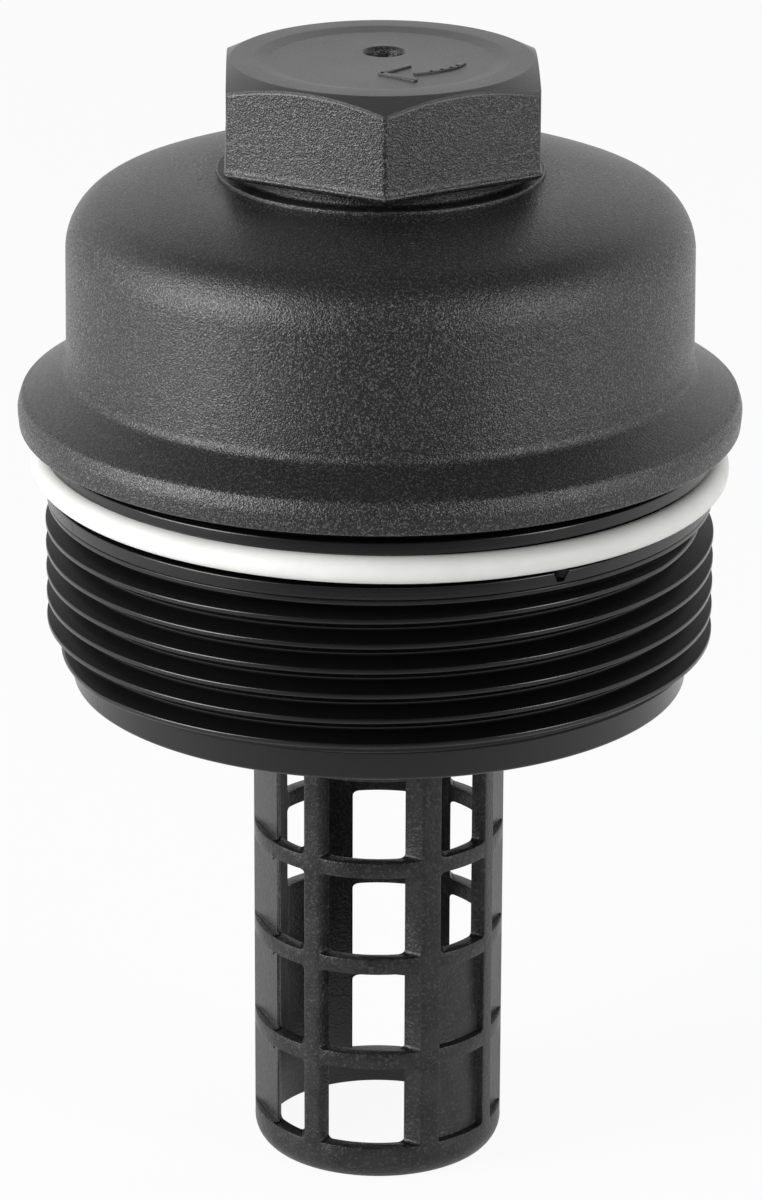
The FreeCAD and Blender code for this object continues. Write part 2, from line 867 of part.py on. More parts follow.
def export(subparts):
    os.makedirs("parts", exist_ok=True)
    for item in subparts:
        item.Shape.exportStep("parts/%s.step" % item.Label)
        box = item.Shape.BoundBox
        print("%-18s solids %d volume %10.1f z %.2f to %.2f radius %.2f" % (
            item.Label, len(item.Shape.Solids), item.Shape.Volume, box.ZMin, box.ZMax,
            max(box.XMax, box.YMax)))


def main():
    subparts = [
        make_housing_cap(),
        make_seal_ring(),
        make_support_cage(),
        make_valve_disc(),
        make_spring_retainer(),
        make_valve_spring(),
    ]
    doc.recompute()
    check(subparts)
    export(subparts)


main()
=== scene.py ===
import math

import bmesh
import bpy
from mathutils import Matrix, Vector


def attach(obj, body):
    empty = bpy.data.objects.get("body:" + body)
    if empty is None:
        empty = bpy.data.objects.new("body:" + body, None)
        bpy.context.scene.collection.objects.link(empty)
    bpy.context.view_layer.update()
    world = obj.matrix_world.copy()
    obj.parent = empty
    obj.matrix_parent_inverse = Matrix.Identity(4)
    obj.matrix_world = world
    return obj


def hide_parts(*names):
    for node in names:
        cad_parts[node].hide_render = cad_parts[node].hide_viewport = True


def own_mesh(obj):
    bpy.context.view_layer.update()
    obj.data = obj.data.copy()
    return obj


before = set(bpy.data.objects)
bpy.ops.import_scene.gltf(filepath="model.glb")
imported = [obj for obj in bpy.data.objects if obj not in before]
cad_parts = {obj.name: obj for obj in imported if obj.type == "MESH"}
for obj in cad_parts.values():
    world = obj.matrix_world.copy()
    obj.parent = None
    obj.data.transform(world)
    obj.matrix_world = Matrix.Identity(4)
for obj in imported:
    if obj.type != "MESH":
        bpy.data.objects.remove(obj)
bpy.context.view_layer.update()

# Oil filter housing cap, dressed for its picture. Sizes are written in millimetres
# and turned to metres as they are used; z is 0 at the centre tube's foot. The top
# stays a hair under the solid's, so that nothing passes it.
MM = 0.001
TOP = 136.199


def below(drop):
    """A height measured down from the hexagon's top face."""
    return TOP - drop


def clear_selection():
    if bpy.context.object and bpy.context.object.mode != "OBJECT":
        bpy.ops.object.mode_set(mode="OBJECT")
    bpy.ops.object.select_all(action="DESELECT")


def pick(item):
    clear_selection()
    item.select_set(True)
    bpy.context.view_layer.objects.active = item


def start_editing(item, kind="VERT"):
    pick(item)
    bpy.ops.object.mode_set(mode="EDIT")
    bpy.ops.mesh.select_mode(type=kind)


def stop_editing():
    bpy.ops.object.mode_set(mode="OBJECT")


def select_where(item, test, kind="verts"):
    """Selects the vertices, edges or faces that pass a test on their place."""
    mesh = bmesh.from_edit_mesh(item.data)
    for parts in (mesh.faces, mesh.edges, mesh.verts):
        for part in parts:
            part.select = False
    for part in getattr(mesh, kind):
        if test(part):
            part.select = True
    mesh.select_flush_mode()
    bmesh.update_edit_mesh(item.data)


def named(name):
    item = bpy.context.object
    item.name = name
    item.data.name = name
    return item


def apply_all(item):
    pick(item)
    for modifier in list(item.modifiers):
        bpy.ops.object.modifier_apply(modifier=modifier.name)


def settle(item):
    """Puts the object's turn and place into its mesh."""
    pick(item)
    bpy.ops.object.transform_apply(location=True, rotation=True, scale=True)
    return item


def mend_normals(item):
    start_editing(item)
    bpy.ops.mesh.select_all(action="SELECT")
    bpy.ops.mesh.remove_doubles(threshold=0.002 * MM)
    bpy.ops.mesh.normals_make_consistent(inside=False)
    stop_editing()


def smooth(item, degrees):
    pick(item)
    bpy.ops.object.shade_smooth_by_angle(angle=math.radians(degrees))


def combine(item, operation, others):
    """Joins, cuts or keeps what is shared, with each of the other solids in turn."""
    for other in others:
        modifier = item.modifiers.new(operation.lower(), "BOOLEAN")
        modifier.operation = operation
        modifier.solver = "EXACT"
        modifier.object = other
    apply_all(item)
    for other in others:
        bpy.data.objects.remove(other)


def join(items):
    clear_selection()
    for item in items:
        item.select_set(True)
    bpy.context.view_layer.objects.active = items[0]
    bpy.ops.object.join()
    return bpy.context.object


def rounded(corners, step=12.0):
    """A section's points in (radius, height), each corner with a third number, its
    fillet radius, replaced by points along the fillet."""
    points = []
    for number, corner in enumerate(corners):
        here = Vector(corner[:2])
        if len(corner) < 3 or number in (0, len(corners) - 1):
            points.append(here)
            continue
        back = Vector(corners[number - 1][:2]) - here
        forward = Vector(corners[number + 1][:2]) - here
        turn = math.pi - back.angle(forward)
        limit = 0.49 * min(back.length, forward.length)
        reach = min(corner[2] * math.tan(turn / 2), limit)
        radius = reach / math.tan(turn / 2)
        first = here + back.normalized() * reach
        last = here + forward.normalized() * reach
        centre = here + (back.normalized() + forward.normalized()).normalized() \
            * math.hypot(reach, radius)
        count = max(2, math.ceil(math.degrees(turn) / step))
        start = first - centre
        sweep = start.angle_signed(last - centre)
        for part in range(count + 1):
            points.append(centre + Matrix.Rotation(-sweep * part / count, 2) @ start)
    return points


def along_arc(centre, radius, first, last, count):
    """Points of an arc; angles in degrees, counted from straight outwards."""
    points = []
    for part in range(count + 1):
        angle = math.radians(first + (last - first) * part / count)
        points.append((centre[0] + radius * math.cos(angle), centre[1] + radius * math.sin(angle)))
    return points


def drawn(name, section):
    """One vertex drawn out along a section, left selected and in edit mode."""
    clear_selection()
    bpy.ops.mesh.primitive_plane_add(size=MM, location=(0, 0, 0))
    item = named(name)
    start_editing(item)
    bpy.ops.mesh.select_all(action="SELECT")
    bpy.ops.mesh.merge(type="CENTER")
    places = [Vector((point[0], 0, point[1])) * MM for point in section]
    bpy.ops.transform.translate(value=places[0])
    for near, far in zip(places, places[1:]):
        bpy.ops.mesh.extrude_vertices_move(TRANSFORM_OT_translate={"value": far - near})
    bpy.ops.mesh.select_all(action="SELECT")
    return item


def turned(name, section, steps):
    """A body turned on the axis from its section."""
    item = drawn(name, section)
    bpy.ops.mesh.spin(steps=steps, angle=math.radians(360), center=(0, 0, 0), axis=(0, 0, 1),
                      use_auto_merge=True)
    stop_editing()
    mend_normals(item)
    return item


def wind(item, turns, rise, steps):
    """Winds a closed section up round the axis and closes both ends."""
    wound = item.modifiers.new("wound", "SCREW")
    wound.angle = math.radians(360 * turns)
    wound.screw_offset = rise * MM
    wound.steps = steps
    wound.render_steps = steps
    wound.axis = "Z"
    apply_all(item)
    start_editing(item, "EDGE")
    bpy.ops.mesh.select_all(action="DESELECT")
    bpy.ops.mesh.select_non_manifold(extend=False)
    bpy.ops.mesh.fill_holes(sides=0)
    stop_editing()
    mend_normals(item)


def direction(degrees):
    """Out from the axis, in degrees from the photographed side towards +X."""
    return Vector((math.sin(math.radians(degrees)), -math.cos(math.radians(degrees)), 0))


def block(name, low, high):
    """A straight block between two corners."""
    low = Vector(low) * MM
    high = Vector(high) * MM
    clear_selection()
    bpy.ops.mesh.primitive_cube_add(size=1, location=(low + high) / 2)
    item = named(name)
    item.scale = high - low
    return settle(item)


def prism(name, plan, low, high):
    """An upright prism over a plan outline, raised from a disc of as many points."""
    clear_selection()
    bpy.ops.mesh.primitive_circle_add(vertices=len(plan), radius=MM, fill_type="NGON",
                                      location=(0, 0, 0))
    item = named(name)
    for vertex, (x, y) in zip(item.data.vertices, plan):
        vertex.co = Vector((x, y, low)) * MM
    start_editing(item, "FACE")
    bpy.ops.mesh.select_all(action="SELECT")
    bpy.ops.mesh.extrude_region_move(
        TRANSFORM_OT_translate={"value": (0, 0, (high - low) * MM)})
    stop_editing()
    mend_normals(item)
    return item


CAP_WALL = 2.9
NECK_RING = (19.2, below(13.55))
CROWN_RADIUS = 34.8
# The shoulder's centre and radius, and where on it the crown ends, from upright.
SHOULDER = (29.79, below(22.56))
SHOULDER_RADIUS = 7.03
CROWN_END_ANGLE = 25.1


def cap_section():
    """The cap's wall cut through the axis: outside from the neck down, then back up
    the inside to the roof under the hexagon."""
    neck_ring = Vector(NECK_RING)
    lean = math.radians(CROWN_END_ANGLE)
    crown_end = Vector(SHOULDER) + Vector((math.sin(lean), math.cos(lean))) * SHOULDER_RADIUS
    outside = [
        (0, below(9.0)),
        (16.6, below(9.0)),
        (17.2, below(10.9), 0.5),
        (17.2, below(13.1), 0.5),
        (19.2, below(13.1), 0.3),
        NECK_RING,
    ]
    chord = crown_end - neck_ring
    lift = math.sqrt(CROWN_RADIUS ** 2 - (chord.length / 2) ** 2)
    centre = (crown_end + neck_ring) / 2 + Vector((chord.y, -chord.x)).normalized() * lift
    first, last = [math.degrees(math.atan2(point.y - centre.y, point.x - centre.x))
                   for point in (neck_ring, crown_end)]
    crown = along_arc(centre, CROWN_RADIUS, first, last, 14)[1:]
    shoulder = along_arc(SHOULDER, SHOULDER_RADIUS, 90 - CROWN_END_ANGLE, 0.0, 14)[1:]
    wall = SHOULDER[0] + SHOULDER_RADIUS
    below_shoulder = [
        (36.96, below(36.97), 1.5),
        (42.3, below(40.05), 0.7),
        (42.76, below(41.6), 2.0),
        (42.55, below(43.9), 0.5),
        (38.4, below(43.9), 0.15),
        (38.4, below(45.5), 0.2),
        (39.8, below(45.5), 0.25),
        (39.8, below(47.0), 0.15),
        (38.1, below(47.0), 0.3),
        (38.1, below(51.0), 0.3),
        (39.5, below(51.0), 0.15),
        (39.5, below(52.4), 0.06),
        (39.3, below(52.52)),
        (39.45, below(52.64), 0.06),
        (39.45, below(53.1), 0.25),
        (37.9, below(53.85), 0.2),
        (37.9, below(71.5), 0.3),
        (36.65, below(72.0), 0.3),
        (36.65, below(75.35), 0.4),
        (wall - CAP_WALL, below(75.35), 0.3),
    ]
    inside = [(wall - CAP_WALL, SHOULDER[1])]
    inside += along_arc(SHOULDER, SHOULDER_RADIUS - CAP_WALL, 0.0, 90 - CROWN_END_ANGLE, 8)[1:]
    socket = [
        (17.9, below(15.9), 0.8),
        (17.9, below(43.2), 0.4),
        (15.3, below(43.2), 0.4),
        (15.3, below(38.2), 0.1),
        (16.45, below(38.2), 0.2),
        (16.45, below(35.0), 0.2),
        (15.3, below(34.8), 0.1),
        (15.3, below(32.9), 0.1),
        (13.6, below(32.9), 0.2),
        (13.6, below(29.9), 0.3),
        (11.5, below(27.8), 0.5),
        (11.5, below(5.15), 1.0),
        (0, below(5.15)),
    ]
    lower = rounded([(wall, SHOULDER[1])] + below_shoulder + [inside[0]])[1:-1]
    hollow = rounded([inside[-1]] + socket)[1:]
    return rounded(outside) + crown + shoulder + lower + inside + hollow


HEX_FLATS = 36.0
HEX_FOOT = below(10.3)
CHAMFER_RADIUS = 17.6
CHAMFER_SLOPE = math.tan(math.radians(26))
DISH_FLOOR = TOP - 0.35


def make_hexagon():
    """The hexagon, drawn down from a six-sided blank with rounded edges and a foot
    that flares out, then turned off on top to leave the chamfer arcs and the dish."""
    corner = HEX_FLATS / 2 / math.cos(math.radians(30))
    length = 12.6
    clear_selection()
    bpy.ops.mesh.primitive_cylinder_add(vertices=6, radius=corner * MM, depth=length * MM,
                                        location=(0, 0, (HEX_FOOT + length / 2) * MM))
    blank = named("hexagon")
    settle(blank)
    start_editing(blank, "EDGE")
    select_where(blank, lambda edge: abs(edge.verts[0].co.z - edge.verts[1].co.z) > MM, "edges")
    bpy.ops.mesh.bevel(offset=0.35 * MM, segments=4, affect="EDGES")
    bpy.ops.mesh.select_mode(type="FACE")
    select_where(blank, lambda face: face.normal.z < -0.9, "faces")
    # How far the foot drops and then grows, step by step: out to a bead and in again.
    foot = [(0.3, 0.02), (0.22, 0.08), (0.18, 0.14), (0.2, 0.04), (0.2, -0.06), (0.16, -0.14),
            (0.1, -0.2)]
    radius = HEX_FLATS / 2
    height = HEX_FOOT
    for drop, growth in foot:
        bpy.ops.mesh.extrude_region_move(TRANSFORM_OT_translate={"value": (0, 0, -drop * MM)})
        height -= drop
        factor = (radius + growth) / radius
        bpy.ops.transform.resize(value=(factor, factor, 1),
                                 center_override=(0, 0, height * MM))
        radius += growth
    bpy.ops.mesh.extrude_region_move(TRANSFORM_OT_translate={"value": (0, 0, -0.1 * MM)})
    bpy.ops.transform.resize(value=(0.995, 0.995, 1), center_override=(0, 0, height * MM))
    stop_editing()
    mend_normals(blank)
    reach = 27.0
    limits = rounded([
        (0, below(14.0)),
        (reach, below(14.0)),
        (reach, TOP - (reach - CHAMFER_RADIUS) * CHAMFER_SLOPE),
        (CHAMFER_RADIUS, TOP, 0.5),
        (14.8, TOP, 2.0),
        (13.0, DISH_FLOOR, 2.0),
        (0, DISH_FLOOR),
    ])
    combine(blank, "INTERSECT", [turned("turned_blank", limits, 192)])
    gate = turned("gate", rounded([
        (0, TOP - 1.3),
        (0.55, TOP - 1.45, 0.2),
        (0.9, TOP - 2.6, 0.2),
        (1.9, TOP - 2.6, 0.3),
        (2.15, TOP - 0.8, 0.6),
        (2.75, TOP - 0.2),
        (2.75, TOP + 1.0),
        (0, TOP + 1.0),
    ]), 64)
    gate.location = Vector((0.3, 3.9, 0)) * MM
    combine(blank, "DIFFERENCE", [settle(gate)])
    blank.rotation_euler = (0, 0, math.radians(1.0))
    blank.location = (0.1 * MM, 0, 0)
    return settle(blank)


def make_webs():
    """Eight webs between the socket and the roof of the dome."""
    webs = []
    for number in range(8):
        web = block("web", (16.5, -0.9, below(30.2)), (31.0, 0.9, below(22.4)))
        web.rotation_euler = (0, 0, math.radians(45 * number))
        webs.append(settle(web))
    return webs


THREAD_START = below(70.75)
THREAD_PITCH = 3.0
THREAD_TURNS = 5.5
THREAD_RISE = THREAD_PITCH * THREAD_TURNS
THREAD_STEPS = 792


def make_thread():
    """A right-hand ridge wound up the wall from the -X side, thinned out at its ends."""
    section = rounded([(-37.7, -1.47), (-39.7, -0.23, 0.17), (-39.7, 0.23, 0.17),
                       (-37.7, 1.47)], 24.0)
    ridge = drawn("thread", [(point[0], point[1] + THREAD_START) for point in section])
    bpy.ops.mesh.edge_face_add()
    bpy.ops.mesh.delete(type="ONLY_FACE")
    stop_editing()
    wind(ridge, THREAD_TURNS, THREAD_RISE, THREAD_STEPS)
    thin_out(ridge)
    return ridge


def thin_out(ridge):
    """Runs the ridge out into the wall over its first and last steps."""
    thinned = 14
    sunk_radius = 37.6
    start_editing(ridge)
    for number in [*range(thinned), *range(THREAD_STEPS + 1 - thinned, THREAD_STEPS + 1)]:
        turn = math.pi + math.radians(360 * THREAD_TURNS) * number / THREAD_STEPS
        height = (THREAD_START + THREAD_RISE * number / THREAD_STEPS) * MM
        foot = Vector((math.cos(turn), math.sin(turn), 0)) * sunk_radius * MM
        side = Vector((-math.sin(turn), math.cos(turn)))

        def in_step(vertex):
            place = vertex.co
            return (abs(place.z - height) < 1.49 * MM and place.xy.dot(foot.xy) > 0
                    and abs(place.xy.dot(side)) < 0.5 * MM)

        select_where(ridge, in_step)
        share = (min(number, THREAD_STEPS - number) + 1) / (thinned + 1)
        bpy.ops.transform.resize(value=(share, share, share),
                                 center_override=(foot.x, foot.y, height))
    stop_editing()


def make_arrow():
    """The turning arrow on top: a low raised line bent round the gate, and its head."""
    tail = [(9.35, -2.0), (8.75, -3.2), (8.0, -4.1), (6.95, -5.0), (5.75, -5.8), (4.05, -6.6)]
    tip = (0.07, -6.5)
    lines = [*zip(tail, tail[1:]), (tip, (3.04, -3.15)), (tip, (3.74, -9.55))]
    return [bar(near, far) for near, far in lines]


def bar(near, far):
    """A low raised bar lying on the dish between two points."""
    width = 0.7
    height = 0.5
    near = Vector((*near, 0))
    far = Vector((*far, 0))
    run = far - near
    clear_selection()
    bpy.ops.mesh.primitive_cube_add(size=1, location=(0, 0, 0))
    item = named("bar")
    item.scale = Vector((run.length + width * 0.8, width, height)) * MM
    settle(item)
    start_editing(item, "EDGE")
    select_where(item, lambda edge: min(vertex.co.z for vertex in edge.verts) > 0, "edges")
    bpy.ops.mesh.bevel(offset=0.09 * MM, segments=2, affect="EDGES")
    stop_editing()
    item.rotation_euler = (0, 0, math.atan2(run.y, run.x))
    item.location = ((near + far) / 2 + Vector((0, 0, DISH_FLOOR - 0.02))) * MM
    return settle(item)


def make_cap():
    """The moulding: turned wall, hexagon and webs, then a nick, the thread and arrow."""
    cap = turned("cap_moulding", cap_section(), 256)
    head = make_hexagon()
    combine(cap, "UNION", [join([head, *make_webs()])])
    notch = block("notch", (19.4, -40.2, below(52.2)), (21.9, -33.0, below(50.2)))
    start_editing(notch)
    select_where(notch, lambda vertex: vertex.co.z < below(51.0) * MM)
    bpy.ops.transform.resize(value=(0.3, 1, 1), center_override=(20.4 * MM, 0, 0))
    stop_editing()
    combine(cap, "DIFFERENCE", [notch])
    cap = join([cap, make_thread(), *make_arrow()])
    cap.name = "cap_moulding"
    smooth(cap, 26.0)
    return cap


def make_seal():
    """The seal lies loose in its groove, so it sits a little askew."""
    clear_selection()
    bpy.ops.mesh.primitive_torus_add(major_segments=256, minor_segments=40,
                                     major_radius=39.73 * MM, minor_radius=1.6 * MM,
                                     location=(0, 0, below(48.7) * MM))
    seal = named("seal")
    seal.rotation_euler = (0, math.radians(0.57), 0)
    settle(seal)
    bpy.ops.object.shade_smooth()
    return seal


def make_spring():
    """Round-wire spring, wound between the retainer and the disc."""
    retainer_top = 71.4
    disc_underside = 82.6
    wire_reach = 0.55
    low = retainer_top + wire_reach
    high = disc_underside - wire_reach
    clear_selection()
    bpy.ops.mesh.primitive_circle_add(vertices=14, radius=0.5 * MM, location=(0, 0, 0),
                                      rotation=(math.pi / 2, 0, 0))
    spring = named("spring")
    settle(spring)
    start_editing(spring)
    bpy.ops.mesh.select_all(action="SELECT")
    bpy.ops.transform.translate(value=(5.6 * MM, 0, low * MM))
    stop_editing()
    wind(spring, 4, high - low, 256)
    smooth(spring, 40)
    return spring


TUBE = 15.1
BORE = 13.3
BEYOND = 18.0
ROW_PITCH = 12.42
ROW_LOW = 4.25
ROW_HIGH = ROW_LOW + 10.44
# Each window's two side walls: the angle where they leave the tube, then the bore.
LEFT_WALLS = ((-57.0, -62.0), (-36.0, -41.8))
MIDDLE_WALLS = ((-28.0, -26.0), (20.6, 13.5))
RIGHT_WALLS = ((29.7, 34.2), (57.9, 56.7))


def around(radius, degrees):
    """A point in plan, in degrees from the photographed side towards +X."""
    way = direction(degrees) * radius
    return (way.x, way.y)


def window_cutter(walls, row, rows):
    """A window column's cutter: a slanted prism with its long edges rounded, stacked."""
    plan = []
    for number, (outer, inner) in enumerate(walls):
        near = Vector(around(BORE, inner))
        run = Vector(around(TUBE, outer)) - near
        ends = [near - run * 0.5, near + run * 1.6]
        plan += ends if number == 0 else ends[::-1]
    plan.insert(2, Vector(around(17.8, (walls[0][0] + walls[1][0]) / 2)))
    cutter = prism("window", [tuple(point) for point in plan], ROW_LOW + ROW_PITCH * row,
                   ROW_HIGH + ROW_PITCH * row)
    start_editing(cutter, "EDGE")

    def runs_outwards(edge):
        first, last = sorted(vertex.co.xy.length for vertex in edge.verts)
        return first < BORE * MM and last > TUBE * MM

    select_where(cutter, runs_outwards, "edges")
    bpy.ops.mesh.bevel(offset=0.5 * MM, segments=4, affect="EDGES")
    stop_editing()
    return stacked(cutter, rows)


def stacked(cutter, rows):
    """The cutter repeated upwards, once for each row."""
    rowed = cutter.modifiers.new("rows", "ARRAY")
    rowed.count = rows
    rowed.use_relative_offset = False
    rowed.use_constant_offset = True
    rowed.constant_offset_displace = (0, 0, ROW_PITCH * MM)
    apply_all(cutter)
    return cutter


def twice(cutter):
    """The cutter and its copy on the far side of the tube."""
    pick(cutter)
    bpy.ops.object.duplicate()
    copy = bpy.context.object
    copy.rotation_euler = (0, 0, math.pi)
    return [cutter, settle(copy)]


def facet_cutter(near, far):
    """Sets the closed side back to a flat between the rings."""
    plan = [around(TUBE, near), around(TUBE - 0.9, far), around(BEYOND, far),
            around(BEYOND + 0.6, (near + far) / 2), around(BEYOND, near)]
    if far > near:
        plan.reverse()
    return stacked(prism("facet", plan, ROW_LOW, ROW_HIGH), 5)


def make_tube():
    """The slotted centre tube: turned, its windows cut through and its closed side set
    back between the rings, the snap fingers freed on top, and all edges broken."""
    foot = [(13.65, 0.0), (13.8, 0.0)] + along_arc((12.12, 2.327), 2.99, -51.07, 5.2, 8)
    section = foot + rounded([
        (TUBE, 60.0), (TUBE, 72.5), (15.55, 72.8), (15.55, 85.7), (TUBE, 86.0),
        (TUBE, 98.2, 0.2), (16.05, 98.2), (16.05, 99.9, 0.3), (TUBE, 101.2, 0.3),
        (TUBE, 103.1), (BORE, 103.1), (BORE, 86.5, 0.3), (7.5, 86.5), (7.5, 84.5),
        (BORE, 84.5, 0.3), (BORE, 3.9), (13.5, 3.7), (13.5, 0.15),
    ])
    tube = turned("centre_tube", section + [section[0]], 144)
    windows = [*twice(window_cutter(LEFT_WALLS, 0, 5)), *twice(window_cutter(MIDDLE_WALLS, 0, 5)),
               *twice(window_cutter(RIGHT_WALLS, 2, 3))]
    combine(tube, "DIFFERENCE", [join(windows)])

    left, right = RIGHT_WALLS[0][0], RIGHT_WALLS[1][0]
    steps = [left + (right - left) * part / 6 for part in range(7)]
    panel = [around(TUBE - 1.0, angle) for angle in steps]
    panel += [around(BEYOND, right), around(BEYOND, left)]
    cuts = [*twice(facet_cutter(89.6, 66.2)), *twice(facet_cutter(-89.6, -57.0)),
            *twice(stacked(prism("panel", panel, ROW_LOW, ROW_HIGH), 2))]
    for middle in range(45, 360, 90):
        plan = [around(radius, middle + turn) for radius, turn in
                ((20.0, -25), (20.0, 25), (11.9, 25), (11.9, -25))]
        cuts.append(prism("slot", plan, 87.5, 105.0))
    cuts += twice(block("lug_window", (12.0, -2.75, 68.25), (17.0, 2.75, 70.95)))
    combine(tube, "DIFFERENCE", [join(cuts)])

    edges = tube.modifiers.new("edges", "BEVEL")
    edges.width = 0.16 * MM
    edges.segments = 2
    edges.limit_method = "ANGLE"
    edges.angle_limit = math.radians(32)
    edges.use_clamp_overlap = False
    apply_all(tube)
    smooth(tube, 32.0)
    return tube


class Wire:
    """One output of a tree's nodes, which takes part in sums as a number does."""

    def __init__(self, tree, socket=None):
        self.tree = tree
        self.socket = socket

    def node(self, kind, settings, inputs, output=0):
        """Any node: its settings first, then the values or wires of its sockets."""
        made = self.tree.nodes.new(kind)
        for name, value in settings.items():
            setattr(made, name, value)
        for name, value in inputs.items():
            socket = made.inputs[name]
            if isinstance(value, Wire):
                self.tree.links.new(value.socket, socket)
            else:
                socket.default_value = value
        return Wire(self.tree, made.outputs[output])

    def other(self, output):
        """Another output of the same node."""
        return Wire(self.tree, self.socket.node.outputs[output])

    def sum(self, operation, first, second=0.0):
        return self.node("ShaderNodeMath", {"operation": operation}, {0: first, 1: second})

    def __add__(self, other):
        return self.sum("ADD", self, other)

    def __radd__(self, other):
        return self.sum("ADD", other, self)

    def __sub__(self, other):
        return self.sum("SUBTRACT", self, other)

    def __rsub__(self, other):
        return self.sum("SUBTRACT", other, self)

    def __mul__(self, other):
        return self.sum("MULTIPLY", self, other)

    def __rmul__(self, other):
        return self.sum("MULTIPLY", other, self)

    def __truediv__(self, other):
        return self.sum("DIVIDE", self, other)

    def __abs__(self):
        return self.sum("ABSOLUTE", self)

    def clear_of(self, low, high):
        """0 below low, 1 above high, and a smooth step between."""
        return self.node("ShaderNodeMapRange", {"interpolation_type": "SMOOTHSTEP"},
                         {"Value": self, "From Min": low, "From Max": high}, "Result")

    def past(self, low, high):
        """The same for a length, with both limits in millimetres."""
        return self.clear_of(low * MM, high * MM)

    def mix(self, first, second):
        """Two colours mixed by this value."""
        return self.node("ShaderNodeMix", {"data_type": "RGBA"},
                         {"Factor": self, "A": first, "B": second}, "Result")


def grey(value, warm=0.0):
    """A grey, with red raised and blue lowered by the warm share."""
    return (value * (1 + warm), value, value * (1 - warm), 1)


def new_material(name, display):
    """An empty material, the start of its nodes and the object's coordinates."""
    material = bpy.data.materials.new(name)
    material.use_nodes = True
    material.diffuse_color = display
    tree = material.node_tree
    for node in list(tree.nodes):
        tree.nodes.remove(node)
    start = Wire(tree)
    place = start.node("ShaderNodeTexCoord", {}, {}, "Object")
    return material, start, place


def noise(place, scale, detail, roughness, stretch=None):
    if stretch:
        place = place.node("ShaderNodeMapping", {}, {"Vector": place, "Scale": stretch}, "Vector")
    return place.node("ShaderNodeTexNoise", {"noise_dimensions": "3D"},
                      {"Vector": place, "Scale": scale, "Detail": detail, "Roughness": roughness},
                      "Fac")


def bump(start, height, distance, strength):
    return start.node("ShaderNodeBump", {}, {"Height": height, "Distance": distance,
                                             "Strength": strength}, "Normal")


def closure(start, colour, rough, normal, constants):
    inputs = {"Base Color": colour, "Roughness": rough, "Normal": normal, **constants}
    return start.node("ShaderNodeBsdfPrincipled", {}, inputs, "BSDF")


def blend(share, first, second):
    """Two closures mixed by a share of the second."""
    return share.node("ShaderNodeMixShader", {}, {0: share, 1: first, 2: second}, "Shader")


def show(surface, kind="ShaderNodeOutputMaterial"):
    """Links a closure to its tree's output."""
    out = surface.tree.nodes.new(kind)
    surface.tree.links.new(surface.socket, out.inputs["Surface"])


